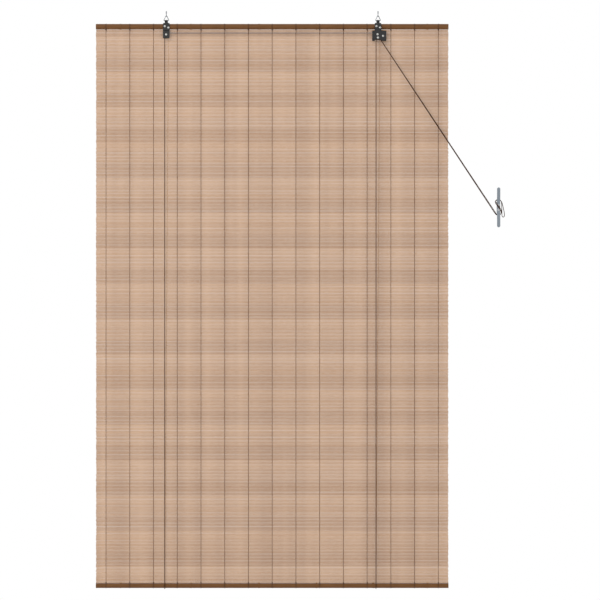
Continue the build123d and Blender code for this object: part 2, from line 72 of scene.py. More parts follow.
class Body(Enum):
    """The bodies that pieces ride on."""

    ROOT = "root"
    BOTTOM_BAR = "bottom_bar"
    LEFT_SHEAVE = "left_sheave"
    RIGHT_REAR_SHEAVE = "right_rear_sheave"
    RIGHT_FRONT_SHEAVE = "right_front_sheave"
    GUIDE_ROLLER = "guide_roller"
    LOCK_CAM = "lock_cam"


# ------------------------------------------------------------------ shared tools
def linear(hex_colour: str) -> tuple[float, float, float, float]:
    """Turns an sRGB hex colour into linear RGBA.

    Args:
        hex_colour: Six hex digits after a hash sign.

    Returns:
        The colour as shader sockets take it.
    """
    values = [int(hex_colour[i : i + 2], 16) / 255 for i in (1, 3, 5)]
    straight = [v / 12.92 if v <= 0.04045 else ((v + 0.055) / 1.055) ** 2.4 for v in values]
    return (*straight, 1.0)


def add_node(tree: bpy.types.NodeTree, kind: str, inputs: dict | None = None, **settings) -> bpy.types.Node:
    """Adds a node, sets it up and links it.

    Args:
        tree: The tree that gets the node.
        kind: The node's type name.
        inputs: Socket name or number to a value, or to the socket or the node that feeds it.
        settings: The node's own properties.

    Returns:
        The new node.
    """
    node = tree.nodes.new(kind)
    for key, value in settings.items():
        setattr(node, key, value)
    for key, value in (inputs or {}).items():
        live = [s for s in node.inputs if s.enabled]
        socket = live[key] if isinstance(key, int) else next(s for s in live if s.name == key)
        if isinstance(value, bpy.types.Node):
            value = result(value)
        if isinstance(value, NodeSocket):
            tree.links.new(value, socket)
        else:
            socket.default_value = value
    return node


def result(node: bpy.types.Node) -> NodeSocket:
    """The output that a node's settings have turned on."""
    return next(socket for socket in node.outputs if socket.enabled)


def mesh_object(name: str, mesh: bpy.types.Mesh) -> bpy.types.Object:
    """Puts a mesh into the scene as an object at the origin.

    Args:
        name: The object's name.
        mesh: Its mesh.

    Returns:
        The object.
    """
    made = bpy.data.objects.new(name, mesh)
    bpy.context.scene.collection.objects.link(made)
    return made


def mesh_from_bmesh(name: str, shape: bmesh.types.BMesh, smooth: bool = True) -> bpy.types.Mesh:
    """Closes a bmesh into a mesh with its faces turned outwards.

    Args:
        name: The mesh's name.
        shape: The bmesh, which is freed.
        smooth: Whether its faces are shaded smooth.

    Returns:
        The finished mesh.
    """
    bmesh.ops.recalc_face_normals(shape, faces=shape.faces)
    mesh = bpy.data.meshes.new(name)
    shape.to_mesh(mesh)
    shape.free()
    if smooth:
        mesh.shade_smooth()
    return mesh


def plain_mesh(source: bpy.types.Object, name: str) -> bpy.types.Object:
    """Turns an object with live modifiers, or a curve, into a plain mesh object.

    Args:
        source: The object to evaluate, which is removed.
        name: The name of the mesh object that takes its place.

    Returns:
        The plain mesh object.
    """
    graph = bpy.context.evaluated_depsgraph_get()
    graph.update()
    mesh = bpy.data.meshes.new_from_object(source.evaluated_get(graph), depsgraph=graph)
    bpy.data.objects.remove(source)
    mesh.name = name
    return mesh_object(name, mesh)


def softened_copy(node: str, name: str, edge: float) -> bpy.types.Object:
    """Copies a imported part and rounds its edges, because no real edge is perfectly sharp.

    Args:
        node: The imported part.
        name: The new piece's name.
        edge: The rounding's width in metres.

    Returns:
        The rounded piece, which replaces the part.
    """
    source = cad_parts[node]
    shape = bmesh.new()
    shape.from_mesh(source.data)
    bmesh.ops.remove_doubles(shape, verts=shape.verts, dist=WELD)
    bmesh.ops.dissolve_limit(
        shape, angle_limit=FLAT_TURN, verts=shape.verts, edges=shape.edges, use_dissolve_boundaries=False
    )
    mesh = bpy.data.meshes.new(name)
    shape.to_mesh(mesh)
    shape.free()
    mesh.materials.clear()
    mesh.shade_smooth()
    made = mesh_object(name, mesh)
    bevel = made.modifiers.new("edge", "BEVEL")
    bevel.width = edge
    bevel.segments = EDGE_FACES
    bevel.limit_method = "ANGLE"
    bevel.angle_limit = SHARP_TURN
    # Large faces decide the shading, so that plates look flat up to their eased edges.
    even = made.modifiers.new("even", "WEIGHTED_NORMAL")
    even.weight = 100
    made = plain_mesh(made, name)
    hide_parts(node)
    return made


def place(
    piece: bpy.types.Object, body: Body, material: bpy.types.Material | None = None
) -> None:
    """Gives a piece its material and the body it rides on, and reports it.

    Args:
        piece: The finished piece.
        body: The body it rides on.
        material: Its material, unless its mesh has one already.
    """
    if material is not None:
        piece.data.materials.clear()
        piece.data.materials.append(material)
    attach(piece, body.value)
    log.info("%s rides on %s", piece.name, body.value)


def gather(piece: bpy.types.Object) -> None:
    """Gives an upright piece a mesh of its own, which no other object shares.

    Args:
        piece: The piece, whose mesh is final.
    """
    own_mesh(piece)


# ------------------------------------------------------------------ geometry node trees
def new_tree(name: str, **sockets: tuple[str, ...]) -> tuple[bpy.types.NodeTree, bpy.types.Node]:
    """Starts a geometry node tree, which also takes the material of what it makes.

    Args:
        name: The tree's name.
        sockets: Kind of value to the names of the inputs that take it.

    Returns:
        The tree and its group input node.
    """
    tree = bpy.data.node_groups.new(name, "GeometryNodeTree")
    for kind, names in {**sockets, "Material": ("Material",)}.items():
        for socket in names:
            tree.interface.new_socket(name=socket, in_out="INPUT", socket_type="NodeSocket" + kind)
    tree.interface.new_socket(name="Geometry", in_out="OUTPUT", socket_type="NodeSocketGeometry")
    return tree, tree.nodes.new("NodeGroupInput")


def close_tree(
    tree: bpy.types.NodeTree, geometry: bpy.types.Node, material: NodeSocket, smooth: bool
) -> None:
    """Ends a tree: real geometry, its shading, its material and the output.

    Args:
        tree: The tree to end.
        geometry: The node that has made its geometry.
        material: The material that it was given.
        smooth: Whether its faces are shaded smooth.
    """
    real = add_node(tree, "GeometryNodeRealizeInstances", {"Geometry": geometry})
    shaded = add_node(tree, "GeometryNodeSetShadeSmooth", {"Geometry": real, "Shade Smooth": smooth})
    dressed = add_node(tree, "GeometryNodeSetMaterial", {"Geometry": shaded, "Material": material})
    add_node(tree, "NodeGroupOutput", {"Geometry": dressed})


def grow(name: str, tree: bpy.types.NodeTree, values: dict) -> bpy.types.Object:
    """Runs a geometry node tree and keeps what it makes as a plain mesh object.

    Args:
        name: The piece's name.
        tree: The tree to run.
        values: Input name to its value.

    Returns:
        The plain mesh object.
    """
    seedling = mesh_object(name + "_seed", bpy.data.meshes.new(name + "_seed"))
    modifier = seedling.modifiers.new("grow", "NODES")
    modifier.node_group = tree
    for item in tree.interface.items_tree:
        if item.in_out == "INPUT" and item.name in values:
            modifier[item.identifier] = values[item.name]
    return plain_mesh(seedling, name)


def row_tree() -> bpy.types.NodeTree:
    """A tree that sets copies of one unit in a straight row.

    Returns:
        The tree.
    """
    tree, given = new_tree("row_of_copies", Object=("Unit",), Int=("Count",), Vector=("Start", "Step"))
    size = given.outputs
    row = add_node(
        tree,
        "GeometryNodeMeshLine",
        {"Count": size["Count"], "Start Location": size["Start"], "Offset": size["Step"]},
        mode="OFFSET",
    )
    unit = add_node(tree, "GeometryNodeObjectInfo", {"Object": size["Unit"], "As Instance": True})
    copies = add_node(
        tree, "GeometryNodeInstanceOnPoints", {"Points": row, "Instance": unit.outputs["Geometry"]}
    )
    close_tree(tree, copies, size["Material"], smooth=True)
    return tree


# A slat's block is cut into these faces. Its outer rows start past this share of its height and
# keep this share of its thickness, and its inner rows are spread to the edge of the flat.
SLAT_CUTS = {"Vertices X": 7, "Vertices Y": 2, "Vertices Z": 4}
EDGE_FROM = 0.4
EDGE_THICKNESS = 0.5
FLAT_SPREAD = 2.25
# How far one slat differs from the next: its tilt in radians, and its least and greatest share of full size.
SLAT_TILT = (0.08, 0.0001, 0.0006)
SLAT_LEAST = (0.997, 0.85, 0.97)
SLAT_MOST = (1.0, 1.1, 1.03)
# How fast a slat wavers: slowly along itself, and afresh from each slat to the next.
WAVER_PACE = (4.0, 1.0, 900.0)
# How many faces go round the ridge of a screw thread.
RIDGE_FACES = 4


def slat_tree() -> bpy.types.NodeTree:
    """A tree that lays split slats under each other, each a little different from the next.

    Returns:
        The tree.
    """
    tree, given = new_tree(
        "split_slats",
        Int=("Count", "Slats in a tone band", "Seed"),
        Float=("First band's start", "Pitch", "Width", "Height", "Thickness", "Waver"),
        Vector=("Start",),
    )
    size = given.outputs
    step = add_node(tree, "ShaderNodeMath", {0: size["Pitch"], 1: -1.0}, operation="MULTIPLY")
    step_vector = add_node(tree, "ShaderNodeCombineXYZ", {"Z": step})
    row = add_node(
        tree,
        "GeometryNodeMeshLine",
        {"Count": size["Count"], "Start Location": size["Start"], "Offset": step_vector},
        mode="OFFSET",
    )
    block_size = add_node(
        tree, "ShaderNodeCombineXYZ", {"X": size["Width"], "Y": size["Thickness"], "Z": size["Height"]}
    )
    block = add_node(tree, "GeometryNodeMeshCube", {"Size": block_size, **SLAT_CUTS})
    # The two outer rows of a slat's section draw in to a rounded edge, and the inner two spread out.
    place_in_slat = add_node(tree, "GeometryNodeInputPosition")
    parts = add_node(tree, "ShaderNodeSeparateXYZ", {0: place_in_slat})
    share = add_node(tree, "ShaderNodeMath", {0: parts.outputs["Z"], 1: size["Height"]}, operation="DIVIDE")
    away = add_node(tree, "ShaderNodeMath", {0: share}, operation="ABSOLUTE")
    is_edge = add_node(tree, "ShaderNodeMath", {0: away, 1: EDGE_FROM}, operation="GREATER_THAN")
    thinner = add_node(
        tree, "ShaderNodeMapRange", {"Value": is_edge, "To Min": 1.0, "To Max": EDGE_THICKNESS}
    )
    taller = add_node(
        tree, "ShaderNodeMapRange", {"Value": is_edge, "To Min": FLAT_SPREAD, "To Max": 1.0}
    )
    new_y = add_node(tree, "ShaderNodeMath", {0: parts.outputs["Y"], 1: thinner}, operation="MULTIPLY")
    new_z = add_node(tree, "ShaderNodeMath", {0: parts.outputs["Z"], 1: taller}, operation="MULTIPLY")
    new_place = add_node(tree, "ShaderNodeCombineXYZ", {"X": parts.outputs["X"], "Y": new_y, "Z": new_z})
    rounded = add_node(
        tree, "GeometryNodeSetPosition", {"Geometry": block.outputs["Mesh"], "Position": new_place}
    )
    index = add_node(tree, "GeometryNodeInputIndex")
    tilt = add_node(
        tree,
        "FunctionNodeRandomValue",
        {"Min": tuple(-turn for turn in SLAT_TILT), "Max": SLAT_TILT, "Seed": size["Seed"]},
        data_type="FLOAT_VECTOR",
    )
    stretch = add_node(
        tree,
        "FunctionNodeRandomValue",
        {"Min": SLAT_LEAST, "Max": SLAT_MOST, "Seed": size["Seed"]},
        data_type="FLOAT_VECTOR",
    )
    copies = add_node(
        tree,
        "GeometryNodeInstanceOnPoints",
        {"Points": row, "Instance": rounded, "Rotation": tilt, "Scale": stretch},
    )
    moved_on = add_node(
        tree, "ShaderNodeMath", {0: index, 1: size["First band's start"]}, operation="SUBTRACT"
    )
    band = add_node(
        tree, "ShaderNodeMath", {0: moved_on, 1: size["Slats in a tone band"]}, operation="DIVIDE"
    )
    band_share = add_node(tree, "ShaderNodeMath", {0: band}, operation="FRACT")
    chance = add_node(tree, "FunctionNodeRandomValue", {"Seed": size["Seed"]}, data_type="FLOAT")
    toned = copies
    for tone, value in (("band_tone", band_share), ("slat_tone", chance)):
        toned = add_node(
            tree,
            "GeometryNodeStoreNamedAttribute",
            {"Geometry": toned, "Name": tone, "Value": value},
            data_type="FLOAT",
            domain="INSTANCE",
        )
    real = add_node(tree, "GeometryNodeRealizeInstances", {"Geometry": toned})
    here = add_node(tree, "GeometryNodeInputPosition")
    stretched = add_node(tree, "ShaderNodeVectorMath", {0: here, 1: WAVER_PACE}, operation="MULTIPLY")
    waver = add_node(tree, "ShaderNodeTexNoise", {"Vector": stretched, "Scale": 1.0, "Detail": 0.0})
    centred = add_node(
        tree, "ShaderNodeVectorMath", {0: waver.outputs["Color"], 1: (0.5, 0.5, 0.5)}, operation="SUBTRACT"
    )
    amount = add_node(tree, "ShaderNodeCombineXYZ", {"Y": size["Waver"], "Z": size["Waver"]})
    offset = add_node(tree, "ShaderNodeVectorMath", {0: centred, 1: amount}, operation="MULTIPLY")
    bent = add_node(tree, "GeometryNodeSetPosition", {"Geometry": real, "Offset": offset})
    close_tree(tree, bent, size["Material"], smooth=False)
    return tree


def screw_ridge_tree() -> bpy.types.NodeTree:
    """A tree that winds the ridge of a screw thread up an upright shank.

    Returns:
        The tree.
    """
    tree, given = new_tree(
        "screw_ridge", Float=("Radius", "Height", "Turns", "Ridge"), Int=("Faces in a turn",)
    )
    size = given.outputs
    helix = add_node(
        tree,
        "GeometryNodeCurveSpiral",
        {
            "Resolution": size["Faces in a turn"],
            "Rotations": size["Turns"],
            "Start Radius": size["Radius"],
            "End Radius": size["Radius"],
            "Height": size["Height"],
        },
    )
    section = add_node(
        tree,
        "GeometryNodeCurvePrimitiveCircle",
        {"Resolution": RIDGE_FACES, "Radius": size["Ridge"]},
        mode="RADIUS",
    )
    ridge = add_node(
        tree, "GeometryNodeCurveToMesh", {"Curve": helix, "Profile Curve": section, "Fill Caps": True}
    )
    close_tree(tree, ridge, size["Material"], smooth=False)
    return tree


# ------------------------------------------------------------------ tubes and curves
# How finely a cord's curve is read, and how deep a knot's crossings are beside its size.
STEPS_IN_SPAN = 10
KNOT_DEPTH = 0.9


def add_tube(
    shape: bmesh.types.BMesh, points: list[Vector], radius: float, sides: int, closed: bool = False
) -> None:
    """Adds a tube along a line of points, with a UV map in millimetres round it and along it.

    Args:
        shape: The bmesh that gets the tube.
        points: The line, in metres.
        radius: The tube's radius in metres.
        sides: How many faces go round it.
        closed: Whether its end joins its start.
    """
    count = len(points)
    wrap = (lambda i: i % count) if closed else (lambda i: min(max(i, 0), count - 1))
    tangents = [(points[wrap(i + 1)] - points[wrap(i - 1)]).normalized() for i in range(count)]
    normal = tangents[0].orthogonal().normalized()
    rings, travelled = [], [0.0]
    for i, (point, tangent) in enumerate(zip(points, tangents)):
        if i:
            normal = tangents[i - 1].rotation_difference(tangent) @ normal
            travelled.append(travelled[-1] + (point - points[i - 1]).length)
        across = tangent.cross(normal)
        turns = [2 * math.pi * j / sides for j in range(sides)]
        spokes = [math.cos(a) * normal + math.sin(a) * across for a in turns]
        rings.append([shape.verts.new(point + radius * spoke) for spoke in spokes])
    uv_map = shape.loops.layers.uv.verify()
    side_width = 2 * math.pi * radius / sides
    for i in range(count if closed else count - 1):
        for j in range(sides):
            near, far, next_j = rings[i], rings[wrap(i + 1)], (j + 1) % sides
            face = shape.faces.new((near[j], near[next_j], far[next_j], far[j]))
            end = travelled[i] + (points[wrap(i + 1)] - points[i]).length
            corners = ((j, travelled[i]), (j + 1, travelled[i]), (j + 1, end), (j, end))
            for loop, (step, along) in zip(face.loops, corners):
                loop[uv_map].uv = (step * side_width / MM, along / MM)
    if not closed:
        shape.faces.new(reversed(rings[0]))
        shape.faces.new(rings[-1])


def nurbs_line(name: str, controls: list[Vector]) -> list[Vector]:
    """Lays a single quadratic NURBS along control points and reads the points of its line.

    Args:
        name: The curve's name while it exists.
        controls: The control points, in metres.

    Returns:
        The line's points, in metres.
    """
    curve = bpy.data.curves.new(name, "CURVE")
    curve.dimensions = "3D"
    spline = curve.splines.new("NURBS")
    spline.points.add(len(controls) - 1)
    for point, place_at in zip(spline.points, controls):
        point.co = (*place_at, 1.0)
    spline.order_u = 3
    spline.use_endpoint_u = True
    spline.resolution_u = curve.resolution_u = STEPS_IN_SPAN
    holder = bpy.data.objects.new(name, curve)
    bpy.context.scene.collection.objects.link(holder)
    line = plain_mesh(holder, name + "_line")
    points = [vertex.co.copy() for vertex in line.data.vertices]
    bpy.data.objects.remove(line)
    return points


def trefoil(centre: Vector, size: float, points: int) -> list[Vector]:
    """The closed line of an overhand knot that lies against a plane facing the front.

    Args:
        centre: The knot's middle.
        size: A third of its radius.
        points: How many points go round it.

    Returns:
        The line's points.
    """
    line = []
    for i in range(points):
        a = 2 * math.pi * i / points
        x = math.sin(a) + 2 * math.sin(2 * a)
        z = math.cos(a) - 2 * math.cos(2 * a)
        line.append(centre + size * Vector((x, KNOT_DEPTH * math.sin(3 * a), z)))
    return line


# ------------------------------------------------------------------ finishes
# Nearly all of a noise's values lie in this span.
NOISE_SPAN = {"From Min": 0.3, "From Max": 0.7}


def grain(
    tree: bpy.types.NodeTree, size_mm: tuple[float, float, float], detail: float = 3.0
) -> bpy.types.Node:
    """A noise on the piece's own coordinates.

    Args:
        tree: The material's node tree.
        size_mm: How large its cells are on X, Y and Z, in millimetres.
        detail: How many finer layers lie on it.

    Returns:
        The noise, from 0 to 1.
    """
    place_on_piece = add_node(tree, "ShaderNodeTexCoord").outputs["Object"]
    scale = tuple(1 / (size * MM) for size in size_mm)
    scaled = add_node(tree, "ShaderNodeMapping", {"Vector": place_on_piece, "Scale": scale})
    inputs = {"Vector": scaled, "Scale": 1.0, "Detail": detail}
    return add_node(tree, "ShaderNodeTexNoise", inputs)


@dataclass(frozen=True)
class Finish:
    """A surface with two near colours mixed by its grain, which also moves its gloss and height.

    Attributes:
        name: The material's name, which says what it is and how it was made.
        base: Its main colour, sRGB.
        other: The colour it drifts to.
        gloss: Its lowest and highest roughness.
        grain_mm: The size of its grain on X, Y and Z.
        relief_mm: The height of its grain.
        metallic: One for bare metal.
        ior: Its refractive index, which bare metal leaves at the shader's own 1.5.
        mirror: How strongly it mirrors what is round it, where 0.5 is usual.
        coat: How much clear lacquer lies on it.
        coat_roughness: How dull that lacquer is.
        wear_mm: The size of the patches in which its gloss changes.
    """

    name: str
    base: str
    other: str
    gloss: tuple[float, float]
    grain_mm: tuple[float, float, float]
    relief_mm: float
    metallic: float = 0.0
    ior: float = 1.5
    mirror: float = 0.5
    coat: float = 0.0
    coat_roughness: float = 0.25
    wear_mm: float = 9.0

    def pattern(self, tree: bpy.types.NodeTree) -> tuple[bpy.types.Node, bpy.types.Node]:
        """Draws the surface.

        Args:
            tree: The material's node tree.

        Returns:
            The nodes that give its colour and its height from 0 to 1.
        """
        cells = grain(tree, self.grain_mm)
        share = add_node(tree, "ShaderNodeMapRange", {"Value": cells, **NOISE_SPAN})
        colours = {"Factor": share, "A": linear(self.base), "B": linear(self.other)}
        return add_node(tree, "ShaderNodeMix", colours, data_type="RGBA"), cells

    def build(self) -> bpy.types.Material:
        """Makes the material, or finds it if it is there already.

        Returns:
            The material.
        """
        made = bpy.data.materials.get(self.name)
        if made:
            return made
        made = bpy.data.materials.new(self.name)
        made.use_nodes = True
        tree = made.node_tree
        tree.nodes.clear()
        colour, height = self.pattern(tree)
        wear = grain(tree, (self.wear_mm,) * 3, detail=2.0)
        gloss = {"Value": wear, **NOISE_SPAN, "To Min": self.gloss[0], "To Max": self.gloss[1]}
        relief = {"Height": height, "Distance": self.relief_mm * MM, "Strength": 1.0}
        skin = add_node(
            tree,
            "ShaderNodeBsdfPrincipled",
            {
                "Base Color": colour,
                "Roughness": add_node(tree, "ShaderNodeMapRange", gloss),
                "Metallic": self.metallic,
                "IOR": self.ior,
                "Specular IOR Level": self.mirror,
                "Coat Weight": self.coat,
                "Coat Roughness": self.coat_roughness,
                "Normal": add_node(tree, "ShaderNodeBump", relief),
            },
        )
        add_node(tree, "ShaderNodeOutputMaterial", {"Surface": skin})
        return made


@dataclass(frozen=True)
class SplitBamboo(Finish):
    """Bare split bamboo, whose tone also changes from slat to slat and by band, and which is lighter and
    darker in soft columns.

    Attributes:
        dark: The colour it drifts to where it is shaded.
        joint: The colour of its joints.
        shade: How far it is drifted to the dark colour everywhere.
        bands: Where in a tone band each step stands, and how much darker it gets there.
        band_blur: How soft such a step is, as a share of the band.
        slat_drift: How far one slat may differ from the next.
        column_drift: How far the soft columns differ.
        fibre_drift: How far the fibres differ.
        column_mm: The columns' width, and their height, which is longer than the blind.
        joint_mm: The size of a joint's mark.
        joint_span: The noise values between which a joint begins.
        joint_depth: How much of the joint's colour shows.
    """

    dark: str = "#8A6547"
    joint: str = "#5A3C28"
    shade: float = 0.16
    bands: tuple = ((0.25, 0.10), (0.60, 0.18))
    band_blur: float = 0.03
    slat_drift: float = 0.03
    column_drift: float = 0.20
    fibre_drift: float = 0.06
    column_mm: tuple[float, float, float] = (55.0, 4000.0, 4000.0)
    joint_mm: tuple[float, float, float] = (2.0, 50.0, 3.2)
    joint_span: tuple[float, float] = (0.80, 0.88)
    joint_depth: float = 0.5

    def pattern(self, tree: bpy.types.NodeTree) -> tuple[bpy.types.Node, bpy.types.Node]:
        """Draws long fibres, soft columns, bands of darker slats and a few darker joints.

        Args:
            tree: The material's node tree.

        Returns:
            The nodes that give its colour and its height from 0 to 1.
        """
        fibres = grain(tree, self.grain_mm)
        columns = grain(tree, self.column_mm, detail=2.0)
        band = add_node(tree, "ShaderNodeAttribute", attribute_name="band_tone").outputs["Fac"]
        own = add_node(tree, "ShaderNodeAttribute", attribute_name="slat_tone").outputs["Fac"]
        drifts = [
            (band, {"From Min": at - self.band_blur, "From Max": at + self.band_blur}, 0.0, step)
            for at, step in self.bands
        ]
        drifts += [
            (own, {}, -self.slat_drift, self.slat_drift),
            (columns, NOISE_SPAN, -self.column_drift, self.column_drift),
            (fibres, NOISE_SPAN, -self.fibre_drift, self.fibre_drift),
        ]
        shade: bpy.types.Node | float = self.shade
        for value, span, least, most in drifts:
            limits = {"Value": value, **span, "To Min": least, "To Max": most}
            drift = add_node(tree, "ShaderNodeMapRange", limits)
            shade = add_node(tree, "ShaderNodeMath", {0: shade, 1: drift}, operation="ADD")
        fibre = add_node(tree, "ShaderNodeMapRange", {"Value": fibres, **NOISE_SPAN})
        joints = grain(tree, self.joint_mm, detail=0.0)
        start, end = self.joint_span
        limits = {"Value": joints, "From Min": start, "From Max": end, "To Max": self.joint_depth}
        is_joint = add_node(tree, "ShaderNodeMapRange", limits)
        colour = linear(self.base)
        for share, over in ((fibre, self.other), (shade, self.dark), (is_joint, self.joint)):
            layers = {"Factor": share, "A": colour, "B": linear(over)}
            colour = add_node(tree, "ShaderNodeMix", layers, data_type="RGBA")
        return colour, fibres


@dataclass(frozen=True)
class Braid(Finish):
    """Round braided cord: two families of strands wind round it and cross, with a UV map in mm, and painted
    shade darkens the hollows between them.

    Attributes:
        strand_mm: The width of a strand.
        wave_scale: The scale at which a wave texture's wave is about one unit long.
        hollow_shade_span: The heights between which a strand goes from the hollows' painted shade, in the
            other colour, to its own colour.
    """

    strand_mm: float = 0.8
    wave_scale: float = 0.32
    hollow_shade_span: tuple[float, float] = (0.0, 0.6)

    def pattern(self, tree: bpy.types.NodeTree) -> tuple[bpy.types.Node, bpy.types.Node]:
        """Draws the crossing strands, with painted shade darkening the hollows between them.

        Args:
            tree: The material's node tree.

        Returns:
            The nodes that give its colour and its height from 0 to 1.
        """
        own_map = add_node(tree, "ShaderNodeUVMap")
        lay = {"Vector": own_map, "Rotation": (0, 0, math.radians(45)), "Scale": (1 / self.strand_mm,) * 3}
        wave = {"Vector": add_node(tree, "ShaderNodeMapping", lay), "Scale": self.wave_scale}
        both = [
            add_node(tree, "ShaderNodeTexWave", wave, bands_direction=way).outputs["Fac"]
            for way in ("X", "Y")
        ]
        waves = {0: both[0], 1: both[1]}
        crossing = add_node(tree, "ShaderNodeMath", waves, operation="MULTIPLY")
        hollow, top = self.hollow_shade_span
        raised = add_node(
            tree, "ShaderNodeMapRange", {"Value": crossing, "From Min": hollow, "From Max": top}
        )
        # The other colour is painted shade in the hollows, and the raised strands keep the base colour.
        colours = {"Factor": raised, "A": linear(self.other), "B": linear(self.base)}
        return add_node(tree, "ShaderNodeMix", colours, data_type="RGBA"), crossing


# Bright zinc on drawn wire: pale, glossy, with faint lines along the wire.
ZINC_WIRE = Finish(
    "zinc_plated_drawn_wire", "#9A9DA0", "#7E8286",
    gloss=(0.18, 0.32), grain_mm=(0.5, 0.5, 4.0), relief_mm=0.004, metallic=1.0,
)
# Black enamel baked on pressed sheet: near black, satin, with a slight orange peel.
BLACK_STEEL = Finish(
    "black_enamelled_pressed_steel", "#070707", "#0D0D0C",
    gloss=(0.34, 0.46), grain_mm=(1.1, 1.1, 1.1), relief_mm=0.008,
)
# Bare upset steel rivets: silvery, with a soft peened gloss.
RIVET_STEEL = Finish(
    "upset_steel_rivet", "#BFBEBA", "#A5A4A0",
    gloss=(0.26, 0.40), grain_mm=(0.9, 0.9, 0.9), relief_mm=0.004, metallic=1.0,
)
# Moulded nylon: milky and satin.
NYLON = Finish(
    "moulded_nylon", "#D9D5C8", "#CFCABC",
    gloss=(0.38, 0.48), grain_mm=(2.0, 2.0, 2.0), relief_mm=0.006, ior=1.53,
)
# Sintered steel: dull grey, open grained.
SINTERED_STEEL = Finish(
    "sintered_steel", "#8C8A86", "#6B6965",
    gloss=(0.42, 0.58), grain_mm=(0.25, 0.25, 0.25), relief_mm=0.015, metallic=1.0,
)
# Half round bamboo, stained dark and lacquered: long streaks under a thin, dull satin lacquer.
DARK_BAMBOO = Finish(
    "stained_lacquered_bamboo", "#553618", "#754E29",
    gloss=(0.48, 0.60), grain_mm=(34.0, 0.7, 0.7), relief_mm=0.030, mirror=0.2, coat=0.05,
)
# Bare bamboo split into slats: fibres run along each slat, matt, warm pale brown.
SPLIT_BAMBOO = SplitBamboo(
    "bare_split_bamboo", "#C7A385", "#B69374",
    gloss=(0.55, 0.72), grain_mm=(22.0, 0.5, 0.35), relief_mm=0.050,
)
# Twisted polyester thread: matt brown, with a rough twist.
THREAD = Finish(
    "twisted_polyester_thread", "#5E4029", "#42291A",
    gloss=(0.66, 0.80), grain_mm=(0.35, 0.35, 0.8), relief_mm=0.060, mirror=0.25,
)
# Braided polyester cord: matt dark brown; the raised strands of the braid stay lighter, and the hollows
# between them get the darker colour as painted shade.
CORD = Braid(
    "braided_polyester_cord", "#4C2B11", "#301808",
    gloss=(0.62, 0.76), grain_mm=(0.5, 0.5, 0.5), relief_mm=0.140, mirror=0.15,
)
# Die cast zinc with a baked grey enamel: blue grey, even, satin.
GREY_ZINC = Finish(
    "grey_enamelled_cast_zinc", "#7C858D", "#727B83",
    gloss=(0.36, 0.46), grain_mm=(1.6, 1.6, 1.6), relief_mm=0.015,
)
# Zinc plated turned screws: bright, with fine turning marks.
SCREW_STEEL = Finish(
    "zinc_plated_turned_steel", "#C5C8CA", "#A9ADB0",
    gloss=(0.24, 0.36), grain_mm=(0.4, 3.0, 0.4), relief_mm=0.006, metallic=1.0,
)
# Plain floor paint: nearly white, matt.
FLOOR_PAINT = Finish(
    "pale_floor_paint", "#F2F1EF", "#EFEEEC",
    gloss=(0.6, 0.7), grain_mm=(40.0, 40.0, 40.0), relief_mm=0.02,
)


# ------------------------------------------------------------------ sub-assemblies
# The threads cut on the hooks and on the cleat's screws.
HOOK_THREAD = {"radius_mm": 1.45, "length_mm": 5.6, "pitch_mm": 1.2}
SCREW_THREAD = {"radius_mm": 1.55, "length_mm": 16.2, "pitch_mm": 1.4}


@dataclass(frozen=True)
class HardPart:
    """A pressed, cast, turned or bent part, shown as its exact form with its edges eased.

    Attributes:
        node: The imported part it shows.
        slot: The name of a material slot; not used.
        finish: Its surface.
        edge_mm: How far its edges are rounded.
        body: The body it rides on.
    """

    node: str
    slot: str
    finish: Finish
    edge_mm: float
    body: Body = Body.ROOT

    def build(self) -> None:
        """Makes the part and sets it on its body."""
        piece = softened_copy(self.node, self.node + "_shown", self.edge_mm * MM)
        place(piece, self.body, self.finish.build())


@dataclass
class ScrewRidge:
    """The ridge of a screw thread round a shank.

    Attributes:
        name: The piece's name.
        slot: The name of a material slot; not used.
        finish: Its surface.
        radius_mm: The shank's radius.
        length_mm: How far the ridge runs.
        pitch_mm: The rise in one turn.
        seat: Where the ridge starts, and which way it runs.
        ridge_mm: The ridge's own radius.
        faces_in_turn: How many faces a turn has.
    """

    name: str
    slot: str
    finish: Finish
    radius_mm: float
    length_mm: float
    pitch_mm: float
    seat: Matrix
    ridge_mm: float = 0.28
    faces_in_turn: int = 20

    def build(self, tree: bpy.types.NodeTree) -> None:
        """Winds the ridge and sets it on its shank.

        Args:
            tree: The tree that winds it.
        """
        values = {
            "Radius": self.radius_mm * MM,
            "Height": self.length_mm * MM,
            "Turns": self.length_mm / self.pitch_mm,
            "Faces in a turn": self.faces_in_turn,
            "Ridge": self.ridge_mm * MM,
            "Material": self.finish.build(),
        }
        piece = grow(self.name, tree, values)
        piece.data.transform(self.seat)
        place(piece, Body.ROOT)


